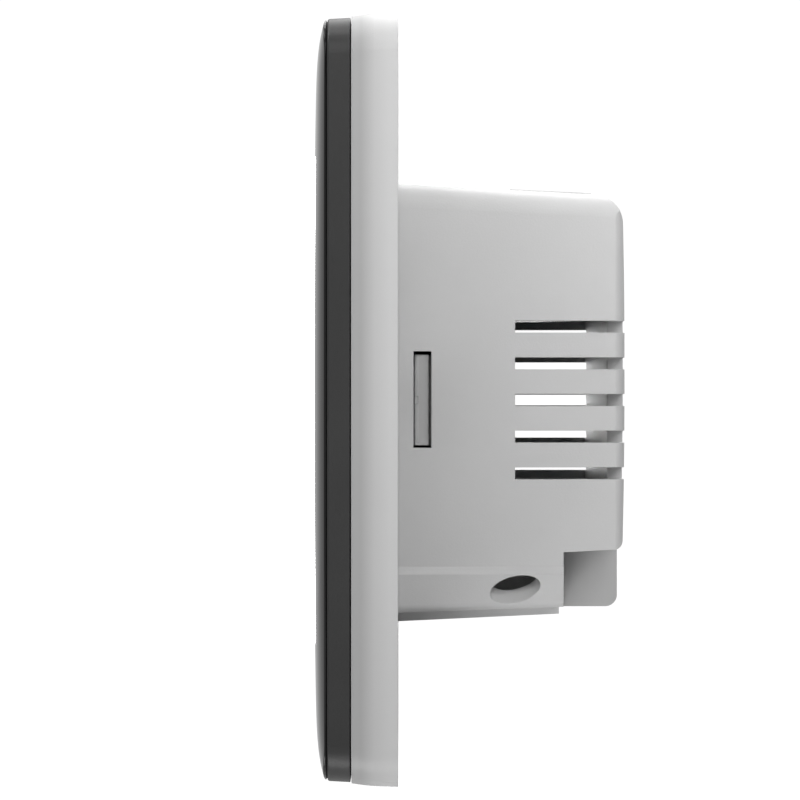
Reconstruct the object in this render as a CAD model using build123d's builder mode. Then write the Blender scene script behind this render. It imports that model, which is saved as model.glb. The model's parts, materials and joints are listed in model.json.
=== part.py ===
from build123d import *
import os
from math import cos, radians, sin, tan

os.makedirs("parts", exist_ok=True)

# A flush wall thermostat for a wall box of the square 86 mm kind.
# X is the width, +Y goes into the wall, -Y faces the room and +Z is up.
# The origin is the centre of the wall plate's back face, which lies on the wall. Millimetres.

# Wall plate
plate_outline = [(0.0, 43.4), (-2.7, 43.32), (-3.9, 43.22), (-5.2, 43.06)]  # depth, half width
plate_corner = 4.5
plate_front, plate_floor = -5.2, -2.0
pocket_half, pocket_corner = 40.6, 3.0
seat_y = -0.4  # depth of the seat that the rear housing's rim stands on
seat_gap = 0.1
hatch_x, hatch_z = 39.0, 36.0  # the opening over the power board
skirt_half, skirt_wall, skirt_end = 22.9, 1.3, 5.5
box_screw_pitch, slot_length, slot_width = 60.0, 7.0, 4.2

# Snap latches, one each side
latch_half_z, latch_in, latch_out = 5.3, 21.6, 22.9
latch_root, latch_tip, hook_out = -1.9, 4.6, 24.35
hook_y, hook_ramp_end, hook_bevel, hook_notch = (2.0, 3.55), 3.75, 0.3, (0.9, 0.35)
latch_pivot_y = latch_root + (latch_out - latch_in) / 2  # the arm bends about the middle of its round root
latch_slot_x, latch_slot_half_z = (20.9, 23.4), 5.8

# Rear housing
draft = tan(radians(2.75))
housing_half, housing_top, body_bottom = 25.25, 25.4, -18.78
body_corner, wall = 2.8, 1.9
back_y, back_edge_y, cavity_back = 26.65, 26.35, 24.8
back_top_r, back_side_r, back_foot_r = 3.8, 1.5, 1.1
floor_inside = -16.3
vent_count, vent_pitch, vent_height = 5, 4.3, 1.4
vent_start, vent_wrap_x = 13.7, 20.0
window_y, window_z = (1.8, 3.9), (-5.6, 5.7)
pad_y, pad_half, pad_rise = (13.3, 23.5), 20.0, 0.25

# Corner ledges and terminal channel, below the housing's main box
lower_end, lower_root, ledge_top, ledge_rise, ledge_flare = 19.4, -17.28, -19.5, 0.9, 0.35
lower_bottom, lower_draft, lower_wall, lower_corner, ledge_r = -24.9, 0.6 / 19, 1.6, 0.9, 0.55
channel_half, channel_wall, channel_bottom, channel_draft = 15.4, 1.3, -26.5, 0.9 / 19
channel_inside, channel_end = -24.9, 19.25
cable_eye_y, cable_eye_z, cable_eye_tilt, cable_eye_rise = 13.7, -22.87, 12.0, 35.0
cable_eye, cable_eye_depth = (3.0, 1.6), 6.0  # half length and half height
groove_z, groove_r, groove_depth = -22.8, 1.2, 0.1  # a faint groove from the eye to the rear
label_size, label_z, label_recess_y, label_thick = (34.0, 22.0), 2.0, 26.25, 0.2

# Power board and what stands on it
power_front, power_back = 5.6, 7.2
power_half_x, power_z = 22.4, (-22.4, 22.4)
board_screw_x, board_screw_z, boss_r, pilot_r, pilot_depth = 19.0, -12.5, 2.2, 0.9, 9.0
screw_shank_r, screw_head_r, screw_head_h = 0.85, 1.9, 1.1
socket_y0, socket_half_x, socket_half_z = -0.6, 10.4, 1.3
pin_count, pin_pitch, pin_side, pin_hole = 8, 2.54, 0.64, 0.9

# Terminal block, six poles with a screw and a clamp pad each
poles, pole_pitch = 6, 5.08
block_y, block_z, block_corner = (power_back, 26.3), (-24.8, -18.0), 1.4
terminal_z = -21.5
head_y, head_r, head_bore_r, shank_r, shank_hole_r = (24.6, 26.0), 1.85, 1.95, 1.25, 1.3
frame_y, frame_half_x, frame_half_z, frame_wall, frame_top = (18.4, 23.0), 2.0, 2.4, 0.5, 1.0
chamber_gap = 0.05
pad_plate_y, clamp_pad_half_x, clamp_pad_half_z = (21.3, 21.8), 1.4, 1.8
entry_y, entry_half_x = (19.1, 21.2), 1.4
drive_slot_w, drive_slot_d = 0.6, 0.7

# Relay, standing on the power board with its coil along X
relay_x, relay_z, relay_y = (-8.5, 20.0), (10.0, 22.4), (power_back, 21.7)
relay_wall, relay_base_h = 0.8, 1.3
coil_y, coil_r, core_r, coil_x = 13.6, 3.1, 1.4, (-5.2, 6.8)
flange_r, flange_t, core_tip = 3.6, 0.8, 8.2
yoke_t, yoke_y, yoke_half_z, yoke_x = 1.0, (9.0, 19.0), 3.8, (-7.6, 8.4)
armature_x, armature_y = (8.5, 9.5), (8.75, 18.9)
armature_r = (armature_x[1] - armature_x[0]) / 2  # its rounded top end, which rocks on the yoke
contact_y, contact_r, contact_t, contact_gap = 9.3, 0.55, 0.5, 0.4
post_t, post_half_z, post_rise = 0.6, 1.6, 0.6

# Power supply parts on the power board
transformer_x, transformer_half_z, transformer_back = (-19.5, -5.5), 6.5, 13.0
core_window_y, core_window_z, winding_gap = (8.4, 11.8), (1.9, 4.7), 0.1
bulk_at, bulk_r, bulk_back, bulk_bead_r, bulk_dish = (-17.2, 15.6), 4.0, 20.2, 0.4, (3.0, 0.2)
filter_x, filter_z, filter_back, filter_edge_r = (8.0, 20.5), (-7.5, -2.5), 13.2, 0.5
varistor_at, varistor_r, varistor_back, varistor_edge_r = (2.0, 3.2), 4.6, 10.6, 0.8
fuse_x, fuse_y, fuse_z, fuse_r = (9.0, 19.0), power_back + 1.9, 4.0, 1.7
fuse_cap_r, fuse_cap_length = 1.9, 2.4
choke_at, choke_r, choke_waist_r, choke_y = (-0.8, -6.0), 3.0, 2.2, (power_back, 8.0, 11.4, 12.2)
chip_size, chip_height = (5.0, 4.0), 1.5
chip_at = [(-10.0, -11.5), (0.0, -12.5), (9.0, -12.0)]

# Front unit: a bezel, a domed front lens and the display board
bezel_outline = [(-5.35, 42.92), (-7.72, 42.81), (-7.88, 42.7)]  # depth, half width
bezel_corner, rim_half, rim_corner = 4.35, 42.35, 3.9
shelf_y, bezel_skirt_half, bezel_skirt_wall, bezel_skirt_end = (-7.0, -5.8), 40.3, 1.2, -2.6
lens_half, lens_corner, lens_lip_y, lens_edge_y, lens_rise = 42.65, 4.2, -8.05, -8.1, 1.9
lens_span = 42.8  # where the dome's height falls to nothing
lens_foot_half, lens_foot_corner, lens_back = 42.2, 3.75, -7.0
display_front, display_back, display_half, display_corner = -4.6, -3.4, 38.0, 2.0
glass_size, glass_z, glass_y = (60.0, 44.0), 6.0, (-6.95, -5.85)
glass_gap = 1.0
key_count, key_pitch, key_z, key_r, key_wall = 5, 14.0, -30.0, 3.0, 0.6
front_screw_at, front_boss_r, front_pilot_r = 34.0, 2.6, 0.9
front_screw_length, front_screw_hole_r = 2.8, 1.1
head_notch_in, head_notch_half_z = 25.5, 6.0
header_back, pin_end = -0.9, 4.2

# Parts on the back of the display board
buzzer_at, buzzer_r, buzzer_back, buzzer_port_r, buzzer_port_d = (-10.0, 10.0), 4.5, -0.5, 0.8, 0.4
cell_at, cell_r, cell_back = (10.0, 10.0), 3.4, -1.3
control_at, control_size, control_back = (-22.0, -22.0), (10.0, 10.0), -2.5
radio_at, radio_size, radio_back = (20.0, -24.0), (18.0, 14.0), -2.9
shield_at, shield_size, shield_back, shield_corner = (20.0, -25.0), (14.0, 10.0), -2.4, 0.5
sensor_x, sensor_z, sensor_r = 28.0, (-37.0, -34.0), 0.55


def facing(y):
    """Sketch plane across the object at depth y: x is +X, y is +Z, and the normal faces the room."""
    return Plane.XZ.offset(-y)


def slab(y0, y1, size, at=(0, 0), corner=0.0, mode=Mode.ADD):
    """A plate of the given (width, height), from depth y0 to depth y1, in the part being built."""
    with BuildSketch(facing(y1)) as outline:
        with Locations(at):
            if corner:
                RectangleRounded(*size, corner)
            else:
                Rectangle(*size)
    extrude(outline.sketch, amount=y1 - y0, mode=mode)


def disc(y0, y1, radius, at=(0, 0), mode=Mode.ADD):
    """A round bar or hole along Y, from depth y0 to depth y1, in the part being built."""
    with BuildSketch(facing(y1)) as outline:
        with Locations(at):
            Circle(radius)
    extrude(outline.sketch, amount=y1 - y0, mode=mode)


def block(x, y, z, mode=Mode.ADD):
    """A box given by its lowest and highest x, y and z, in the part being built."""
    slab(y[0], y[1], (x[1] - x[0], z[1] - z[0]), ((x[0] + x[1]) / 2, (z[0] + z[1]) / 2), mode=mode)


def write(name, part):
    part.label = name
    export_step(part, f"parts/{name}.step")


def half_width(y):
    return housing_half - y * draft


def top_of(y):
    return housing_top - y * draft


def bottom_of(y):
    return body_bottom + y * draft


def body_outline(y, grow=0.0):
    """Outline of the housing's main box at depth y, grown or shrunk evenly."""
    w, top, bottom = half_width(y) + grow, top_of(y) + grow, bottom_of(y) - grow
    with BuildSketch(facing(y)) as outline:
        with Locations((0, (top + bottom) / 2)):
            Rectangle(2 * w, top - bottom)
        fillet(outline.vertices().group_by(Axis.Y)[-1], body_corner + grow)
    return outline.sketch


def lower_outline(y, grow=0.0):
    """Outline of the corner ledges at depth y: the side wall, a sloping ledge and a panel that leans in."""
    w, foot = half_width(y) + grow, lower_bottom + y * lower_draft - grow
    right = [
        (w, lower_root),
        (w, ledge_top),
        (w + ledge_flare, ledge_top - ledge_rise),
        (w + ledge_flare / 2, foot),
    ]
    with BuildSketch(facing(y)) as outline:
        Polygon(*right, *[(-x, z) for x, z in reversed(right)], align=None)
        levels = outline.vertices().group_by(Axis.Y)
        fillet(levels[0], lower_corner)
        fillet(levels[1] + levels[2], ledge_r)
    return outline.sketch


def channel_outline(y, grow=0.0):
    """Outline of the deeper strip under the terminal block at depth y."""
    bottom = channel_bottom + y * channel_draft - grow
    with BuildSketch(facing(y)) as outline:
        with Locations((0, (bottom + ledge_top) / 2)):
            Rectangle(2 * (channel_half + channel_wall + grow), ledge_top - bottom)
    return outline.sketch


# Wall plate: a shallow tray with a skirt that the rear housing slips over
with BuildPart() as wall_plate:
    for y, half in plate_outline:
        with BuildSketch(facing(y)):
            RectangleRounded(2 * half, 2 * half, plate_corner)
    loft(ruled=True)
    tray = (2 * pocket_half, 2 * pocket_half)
    slab(plate_front, plate_floor, tray, corner=pocket_corner, mode=Mode.SUBTRACT)
    for outline in (body_outline, lower_outline, channel_outline):
        extrude(outline(0, seat_gap), amount=-seat_y, mode=Mode.SUBTRACT)
    slab(seat_y, skirt_end, (2 * skirt_half, 2 * skirt_half), corner=1.5)
    inner = 2 * (skirt_half - skirt_wall)
    slab(seat_y, skirt_end, (inner, inner), mode=Mode.SUBTRACT)
    slab(plate_floor, 0, (hatch_x, hatch_z), corner=1.0, mode=Mode.SUBTRACT)
    for side in (-1, 1):
        x0, x1 = sorted(side * x for x in latch_slot_x)
        block((x0, x1), (plate_floor, skirt_end), (-latch_slot_half_z, latch_slot_half_z), Mode.SUBTRACT)
    with BuildSketch(facing(0)):
        with GridLocations(box_screw_pitch, 0, 2, 1):
            SlotOverall(slot_length, slot_width)
    extrude(amount=-plate_floor, mode=Mode.SUBTRACT)
write("wall_plate", wall_plate.part)

# Snap latches: an arm with a hook that fills the housing's side window
for name, side in (("latch_right", 1), ("latch_left", -1)):
    with BuildPart() as latch:
        arm = [
            (latch_in, latch_pivot_y),
            (latch_in, latch_tip),
            (latch_out, latch_tip),
            (latch_out, hook_ramp_end),
            (hook_out, hook_y[1]),
            (hook_out, hook_y[0] + hook_bevel),
            (hook_out - hook_bevel, hook_y[0]),
            (latch_out, hook_y[0]),
            (latch_out, latch_pivot_y),
        ]
        root_arc = (arm[-1], ((latch_in + latch_out) / 2, latch_root), arm[0])
        with BuildSketch(Plane.XY.offset(-latch_half_z)):
            with BuildLine():
                Polyline(*[(side * x, y) for x, y in arm])
                ThreePointArc(*[(side * x, y) for x, y in root_arc])
            make_face()
        extrude(amount=2 * latch_half_z)
        notch_x = sorted((side * (hook_out - hook_notch[1]), side * (hook_out + 1)))
        block(notch_x, (hook_y[0] - 1, hook_y[0] + hook_notch[1]), (-hook_notch[0] / 2, hook_notch[0] / 2),
              Mode.SUBTRACT)
    write(name, latch.part)

# Rear housing: a drafted box with a crowned back, vents round both rear corners and ledges below
with BuildPart() as rear_housing:
    loft([body_outline(y) for y in (seat_y, back_y + 1)])
    skin = 0.02  # the trimming profiles pass this far outside the drafted walls
    with BuildSketch(Plane.YZ) as side_profile:
        with BuildLine():
            back_top = (back_edge_y, top_of(back_edge_y) + skin)
            back_foot = (back_edge_y, bottom_of(back_edge_y) - skin)
            ThreePointArc(back_foot, (back_y, 0), back_top)
            front_edge = [(seat_y, top_of(seat_y) + skin), (seat_y, bottom_of(seat_y) - skin)]
            Polyline(back_top, *front_edge, back_foot)
        make_face()
        for corner, radius in ((back_top, back_top_r), (back_foot, back_foot_r)):
            nearest = side_profile.vertices().sort_by_distance(corner)[0]
            fillet(nearest, radius)
    extrude(amount=housing_half + 5, both=True, mode=Mode.INTERSECT)
    with BuildSketch(Plane.XY.offset(body_bottom - 1)) as plan:
        w0, w1 = half_width(seat_y) + skin, half_width(back_y) + skin
        Polygon((-w0, seat_y), (w0, seat_y), (w1, back_y + skin), (-w1, back_y + skin), align=None)
        fillet(plan.vertices().group_by(Axis.Y)[-1], back_side_r)
    extrude(amount=housing_top - body_bottom + 2, mode=Mode.INTERSECT)
    for outline, end in ((lower_outline, lower_end), (channel_outline, channel_end)):
        loft([outline(y) for y in (seat_y, end)], ruled=True)
    with BuildSketch(Plane.YZ):
        turn_y = back_y - back_top_r
        crown = [(pad_y[0], pad_rise), (turn_y, pad_rise), (pad_y[1], -pad_rise)]
        foot = [(pad_y[1], -1), (pad_y[0], -1)]
        Polygon(*[(y, top_of(y) + rise) for y, rise in crown + foot], align=None)
    extrude(amount=pad_half, both=True)

    for y in (seat_y, cavity_back):
        with BuildSketch(facing(y)) as cavity:
            w, top = half_width(y) - wall, top_of(y) - wall
            with Locations((0, (top + floor_inside) / 2)):
                Rectangle(2 * w, top - floor_inside)
            fillet(cavity.vertices().group_by(Axis.Y)[-1], body_corner - wall)
    loft(mode=Mode.SUBTRACT)
    lower_inside = lower_bottom + lower_wall
    for y in (seat_y, lower_end - lower_wall):
        slab_w = 2 * (half_width(y) - wall)
        with BuildSketch(facing(y)):
            with Locations((0, (lower_inside + floor_inside + 1) / 2)):
                Rectangle(slab_w, floor_inside + 1 - lower_inside)
    loft(mode=Mode.SUBTRACT)
    channel_x = (-channel_half, channel_half)
    block(channel_x, (seat_y, lower_end + 1), (channel_inside, floor_inside), Mode.SUBTRACT)
    block(channel_x, (lower_end, back_y + 1), (channel_inside, body_bottom), Mode.SUBTRACT)

    for row in range(vent_count):
        z = (row - (vent_count - 1) / 2) * vent_pitch
        with BuildSketch(Plane.XY.offset(z - vent_height / 2)):
            for side in (-1, 1):
                with Locations((side * (vent_wrap_x + 5), vent_start + 8)):
                    Rectangle(10, 16)
        extrude(amount=vent_height, mode=Mode.SUBTRACT)
    with BuildSketch(Plane.YZ):
        with Locations((sum(window_y) / 2, sum(window_z) / 2)):
            Rectangle(window_y[1] - window_y[0], window_z[1] - window_z[0])
    extrude(amount=housing_half + 1, both=True, mode=Mode.SUBTRACT)
    for side in (-1, 1):
        with BuildSketch(Plane.YZ.offset(side * (housing_half + 0.6))):
            with Locations(Location((cable_eye_y, cable_eye_z, 0), (0, 0, cable_eye_tilt))):
                Ellipse(*cable_eye)
        inward = (-side * cos(radians(cable_eye_rise)), 0, sin(radians(cable_eye_rise)))
        extrude(amount=cable_eye_depth, dir=inward, mode=Mode.SUBTRACT)
        lean = ledge_flare / 2 * (1 + (groove_z - lower_bottom) / (ledge_top - ledge_rise - lower_bottom))
        groove_x = half_width(cable_eye_y) + lean + groove_r - groove_depth
        with BuildSketch(facing(cable_eye_y)):
            with Locations((side * groove_x, groove_z)):
                Circle(groove_r)
        extrude(amount=lower_end + 1 - cable_eye_y, dir=(-side * draft, 1, 0), mode=Mode.SUBTRACT)
        at = (side * board_screw_x, board_screw_z)
        disc(power_back, cavity_back + 0.5, boss_r, at)
        disc(power_back, power_back + pilot_depth, pilot_r, at, Mode.SUBTRACT)
    slab(label_recess_y, back_y + 1, label_size, (0, label_z), 1.5, Mode.SUBTRACT)
write("rear_housing", rear_housing.part)

# Rating label, blank
with BuildPart() as rating_label:
    inset = 0.3
    slab(label_recess_y, label_recess_y + label_thick,
         (label_size[0] - inset, label_size[1] - inset), (0, label_z), 1.3)
write("rating_label", rating_label.part)

# Power board
with BuildPart() as power_board:
    block((-power_half_x, power_half_x), (power_front, power_back), power_z)
    for side in (-1, 1):
        disc(power_front, power_back, pilot_r + 0.2, (side * board_screw_x, board_screw_z), Mode.SUBTRACT)
write("power_board", power_board.part)


def pan_screw(y_under, at, length, toward_wall=True):
    """A pan head screw whose head stands on a face at depth y_under, with its shank going away from it."""
    step = 1 if toward_wall else -1
    disc(*sorted((y_under - step * screw_head_h, y_under)), screw_head_r, at)
    disc(*sorted((y_under, y_under + step * length)), screw_shank_r, at)
    slot_bottom = y_under - step * screw_head_h * 0.45
    for size in ((0.45, 2.2), (2.2, 0.45)):
        slab(*sorted((y_under - step * screw_head_h, slot_bottom)), size, at, mode=Mode.SUBTRACT)


with BuildPart() as board_screws:
    for side in (-1, 1):
        pan_screw(power_front, (side * board_screw_x, board_screw_z), 8.0)
write("board_screws", board_screws.part)

# Socket header on the power board, and the pin header that plugs into it
pin_x = [(i - (pin_count - 1) / 2) * pin_pitch for i in range(pin_count)]
with BuildPart() as socket_header:
    block((-socket_half_x, socket_half_x), (socket_y0, power_front), (-socket_half_z, socket_half_z))
    for x in pin_x:
        slab(socket_y0, power_front - 0.8, (pin_hole, pin_hole), (x, 0), mode=Mode.SUBTRACT)
write("socket_header", socket_header.part)

with BuildPart() as pin_header:
    block((-socket_half_x, socket_half_x), (display_back, header_back), (-socket_half_z, socket_half_z))
    for x in pin_x:
        slab(header_back, pin_end, (pin_side, pin_side), (x, 0))
write("pin_header", pin_header.part)

# Terminal block
pole_x = [(i - (poles - 1) / 2) * pole_pitch for i in range(poles)]
with BuildPart() as terminal_block:
    half = poles * pole_pitch / 2
    block((-half, half), block_y, block_z)
    heel = terminal_block.edges().filter_by(Axis.X).sort_by(lambda e: e.center().Y - e.center().Z)[-1]
    fillet(heel, block_corner)
    for x in pole_x:
        chamber = [2 * (half + chamber_gap) for half in (frame_half_x, frame_half_z)]
        slab(frame_y[0] - chamber_gap, frame_y[1], chamber, (x, terminal_z), mode=Mode.SUBTRACT)
        disc(frame_y[1], block_y[1], head_bore_r, (x, terminal_z), Mode.SUBTRACT)
        block((x - entry_half_x, x + entry_half_x), entry_y, (block_z[0], terminal_z), Mode.SUBTRACT)
write("terminal_block", terminal_block.part)

# Clamp frames: the fixed metal boxes that the wires lie in, with the screws' threads in their tops
with BuildPart() as clamp_frames:
    for x in pole_x:
        z = (terminal_z - frame_half_z, terminal_z + frame_half_z)
        block((x - frame_half_x, x + frame_half_x), frame_y, z)
        inside = frame_half_x - frame_wall
        block((x - inside, x + inside), (frame_y[0] + frame_wall, frame_y[1] - frame_top), z, Mode.SUBTRACT)
        disc(frame_y[1] - frame_top, frame_y[1], shank_hole_r, (x, terminal_z), Mode.SUBTRACT)
write("clamp_frames", clamp_frames.part)

# Terminal screws and the clamp pads that they drive on to the wires
for i, x in enumerate(pole_x, start=1):
    with BuildPart() as terminal_screw:
        disc(*head_y, head_r, (x, terminal_z))
        disc(pad_plate_y[1], head_y[0], shank_r, (x, terminal_z))
        drive_slot = (2 * head_r, drive_slot_w)
        slab(head_y[1] - drive_slot_d, head_y[1], drive_slot, (x, terminal_z), mode=Mode.SUBTRACT)
    write(f"terminal_screw_{i}", terminal_screw.part)
    with BuildPart() as clamp_pad:
        slab(*pad_plate_y, (2 * clamp_pad_half_x, 2 * clamp_pad_half_z), (x, terminal_z))
    write(f"clamp_pad_{i}", clamp_pad.part)

# Relay
relay_mid_z = sum(relay_z) / 2
with BuildPart() as relay_cover:
    block(relay_x, (relay_y[0], relay_y[1]), relay_z)
    block((relay_x[0] + relay_wall, relay_x[1] - relay_wall), (relay_y[0], relay_y[1] - relay_wall),
          (relay_z[0] + relay_wall, relay_z[1] - relay_wall), Mode.SUBTRACT)
write("relay_cover", relay_cover.part)

with BuildPart() as relay_base:
    fit = relay_wall + 0.05
    block((relay_x[0] + fit, relay_x[1] - fit), (relay_y[0], relay_y[0] + relay_base_h),
          (relay_z[0] + fit, relay_z[1] - fit))
write("relay_base", relay_base.part)


def along_x(x0, x1, radius, y, z, mode=Mode.ADD):
    """A round bar along X, from x0 to x1, in the part being built."""
    with BuildSketch(Plane.YZ.offset(x0)) as outline:
        with Locations((y, z)):
            Circle(radius)
    extrude(outline.sketch, amount=x1 - x0, mode=mode)


with BuildPart() as relay_bobbin:
    for x0 in (coil_x[0] - flange_t, coil_x[1]):
        along_x(x0, x0 + flange_t, flange_r, coil_y, relay_mid_z)
    along_x(coil_x[0], coil_x[1], core_r + 0.6, coil_y, relay_mid_z)
    along_x(coil_x[0] - flange_t, coil_x[1] + flange_t, core_r, coil_y, relay_mid_z, Mode.SUBTRACT)
write("relay_bobbin", relay_bobbin.part)

with BuildPart() as relay_coil:
    along_x(coil_x[0], coil_x[1], coil_r, coil_y, relay_mid_z)
    along_x(coil_x[0], coil_x[1], core_r + 0.6, coil_y, relay_mid_z, Mode.SUBTRACT)
write("relay_coil", relay_coil.part)

with BuildPart() as relay_yoke:
    z = (relay_mid_z - yoke_half_z, relay_mid_z + yoke_half_z)
    block((yoke_x[0], yoke_x[0] + yoke_t), yoke_y, z)
    block(yoke_x, (yoke_y[1] - yoke_t, yoke_y[1]), z)
    along_x(yoke_x[0] + yoke_t, core_tip, core_r, coil_y, relay_mid_z)
write("relay_yoke", relay_yoke.part)

with BuildPart() as relay_armature:
    z = (relay_mid_z - yoke_half_z, relay_mid_z + yoke_half_z)
    block(armature_x, armature_y, z)
    fillet(relay_armature.edges().filter_by(Axis.Z).group_by(Axis.Y)[-1], armature_r - 0.001)
    along_x(armature_x[0] - contact_t, armature_x[0], contact_r, contact_y, relay_mid_z)
write("relay_armature", relay_armature.part)

with BuildPart() as relay_contact:
    face = armature_x[0] - contact_t - contact_gap
    along_x(face - contact_t, face, contact_r, contact_y, relay_mid_z)
    block((face - contact_t - post_t, face - contact_t), (relay_y[0] + relay_base_h, contact_y + post_rise),
          (relay_mid_z - post_half_z, relay_mid_z + post_half_z))
write("relay_contact", relay_contact.part)

# Power supply parts, low ones behind the vents and the tall capacitor beside the relay
with BuildPart() as transformer_core:
    block(transformer_x, (power_back, transformer_back), (-transformer_half_z, transformer_half_z))
    for side in (-1, 1):
        window_z_range = sorted(side * z for z in core_window_z)
        block(transformer_x, core_window_y, window_z_range, Mode.SUBTRACT)
write("transformer_core", transformer_core.part)

with BuildPart() as transformer_winding:
    room = (transformer_x, core_window_y, core_window_z)
    wound_x, wound_y, wound_z = ((low + winding_gap, high - winding_gap) for low, high in room)
    for side in (-1, 1):
        block(wound_x, wound_y, sorted(side * z for z in wound_z))
write("transformer_winding", transformer_winding.part)

with BuildPart() as bulk_capacitor:
    disc(power_back, bulk_back, bulk_r, bulk_at)
    rings = bulk_capacitor.edges().filter_by(GeomType.CIRCLE).sort_by(Axis.Y)
    fillet(rings[-1], bulk_bead_r)
    disc(bulk_back - bulk_dish[1], bulk_back, bulk_dish[0], bulk_at, Mode.SUBTRACT)
write("bulk_capacitor", bulk_capacitor.part)

with BuildPart() as filter_capacitor:
    block(filter_x, (power_back, filter_back), filter_z)
    fillet(filter_capacitor.edges().filter_by(Axis.Y), filter_edge_r)
write("filter_capacitor", filter_capacitor.part)

with BuildPart() as varistor:
    disc(power_back, varistor_back, varistor_r, varistor_at)
    fillet(varistor.edges().filter_by(GeomType.CIRCLE).sort_by(Axis.Y)[-1], varistor_edge_r)
write("varistor", varistor.part)

with BuildPart() as fuse:
    along_x(*fuse_x, fuse_r, fuse_y, fuse_z)
    for x0 in (fuse_x[0], fuse_x[1] - fuse_cap_length):
        along_x(x0, x0 + fuse_cap_length, fuse_cap_r, fuse_y, fuse_z)
write("fuse", fuse.part)

with BuildPart() as choke:
    for y0, y1, radius in zip(choke_y, choke_y[1:], (choke_r, choke_waist_r, choke_r)):
        disc(y0, y1, radius, choke_at)
write("choke", choke.part)

with BuildPart() as power_chips:
    for at in chip_at:
        slab(power_back, power_back + chip_height, chip_size, at)
write("power_chips", power_chips.part)

# Front bezel: the black band round the edge, with a shelf for the lens and a skirt into the wall plate
key_x = [(i - (key_count - 1) / 2) * key_pitch for i in range(key_count)]
corners = [(x, z) for x in (-front_screw_at, front_screw_at) for z in (-front_screw_at, front_screw_at)]
with BuildPart() as front_bezel:
    for y, half in bezel_outline:
        with BuildSketch(facing(y)):
            RectangleRounded(2 * half, 2 * half, bezel_corner)
    loft(ruled=True)
    rim = (2 * rim_half, 2 * rim_half)
    slab(bezel_outline[-1][0], shelf_y[0], rim, corner=rim_corner, mode=Mode.SUBTRACT)
    room = 2 * (bezel_skirt_half - bezel_skirt_wall)
    slab(bezel_outline[0][0], bezel_skirt_end, (2 * bezel_skirt_half, 2 * bezel_skirt_half), corner=2.8)
    slab(shelf_y[1], bezel_skirt_end, (room, room), corner=2.0, mode=Mode.SUBTRACT)
    glass_room = [side + 2 * glass_gap for side in glass_size]
    slab(*shelf_y, glass_room, (0, glass_z), mode=Mode.SUBTRACT)
    for x in key_x:
        disc(*shelf_y, key_r + 0.4, (x, key_z), Mode.SUBTRACT)
    for at in corners:
        disc(shelf_y[1], display_front, front_boss_r, at)
        disc(shelf_y[0] + 0.5, display_front, front_pilot_r, at, Mode.SUBTRACT)
write("front_bezel", front_bezel.part)


def dome(x, z):
    """Depth of the lens's front face: nearly flat, and rolling down quickly in its last few millimetres."""
    fall = [1 - 0.28 * u**2 - 0.72 * u**20 for u in (x / lens_span, z / lens_span)]
    return lens_edge_y - lens_rise * fall[0] * fall[1]


# Front lens: a domed plate whose lip overhangs the bezel's rim, on a foot that sits inside the rim
dome_steps = 28
dome_at = [lens_span * sin(radians(90 * i / dome_steps)) for i in range(-dome_steps, dome_steps + 1)]
dome_face = Face.make_surface_from_array_of_points(
    [[(x, dome(x, z), z) for x in dome_at] for z in dome_at], tol=0.003, min_deg=3, max_deg=5
)
dome_solid = Solid.extrude(dome_face, (0, 8, 0))
with BuildPart() as front_lens:
    slab(-12, lens_lip_y, (2 * lens_half, 2 * lens_half), corner=lens_corner)
    add(dome_solid, mode=Mode.INTERSECT)
    slab(lens_lip_y, lens_back, (2 * lens_foot_half, 2 * lens_foot_half), corner=lens_foot_corner)
write("front_lens", front_lens.part)

# Display
with BuildPart() as lcd_glass:
    slab(*glass_y, glass_size, (0, glass_z))
write("lcd_glass", lcd_glass.part)

with BuildPart() as light_guide:
    slab(glass_y[1], display_front, glass_size, (0, glass_z))
write("light_guide", light_guide.part)

with BuildPart() as display_board:
    slab(display_front, display_back, (2 * display_half, 2 * display_half), corner=display_corner)
    for side in (-1, 1):
        x = sorted((side * head_notch_in, side * (display_half + 1)))
        block(x, (display_front, display_back), (-head_notch_half_z, head_notch_half_z), Mode.SUBTRACT)
    for at in corners:
        disc(display_front, display_back, front_screw_hole_r, at, Mode.SUBTRACT)
write("display_board", display_board.part)

with BuildPart() as display_screws:
    for at in corners:
        pan_screw(display_back, at, front_screw_length, toward_wall=False)
write("display_screws", display_screws.part)

with BuildPart() as touch_springs:
    for x in key_x:
        disc(lens_back, display_front, key_r, (x, key_z))
        disc(lens_back, display_front, key_r - key_wall, (x, key_z), Mode.SUBTRACT)
write("touch_springs", touch_springs.part)

with BuildPart() as buzzer:
    disc(display_back, buzzer_back, buzzer_r, buzzer_at)
    disc(buzzer_back - buzzer_port_d, buzzer_back, buzzer_port_r, buzzer_at, Mode.SUBTRACT)
write("buzzer", buzzer.part)

with BuildPart() as backup_cell:
    disc(display_back, cell_back, cell_r, cell_at)
write("backup_cell", backup_cell.part)

with BuildPart() as control_chip:
    slab(display_back, control_back, control_size, control_at)
write("control_chip", control_chip.part)

with BuildPart() as radio_module:
    slab(display_back, radio_back, radio_size, radio_at)
    slab(radio_back, shield_back, shield_size, shield_at, shield_corner)
write("radio_module", radio_module.part)

with BuildPart() as temp_sensor:
    with BuildSketch(Plane.XY.offset(sensor_z[0])):
        with Locations((sensor_x, display_front - sensor_r)):
            Circle(sensor_r)
    extrude(amount=sensor_z[1] - sensor_z[0])
write("temp_sensor", temp_sensor.part)
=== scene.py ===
import json
import math

import bmesh
import bpy
from mathutils import Matrix, Vector


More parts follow.
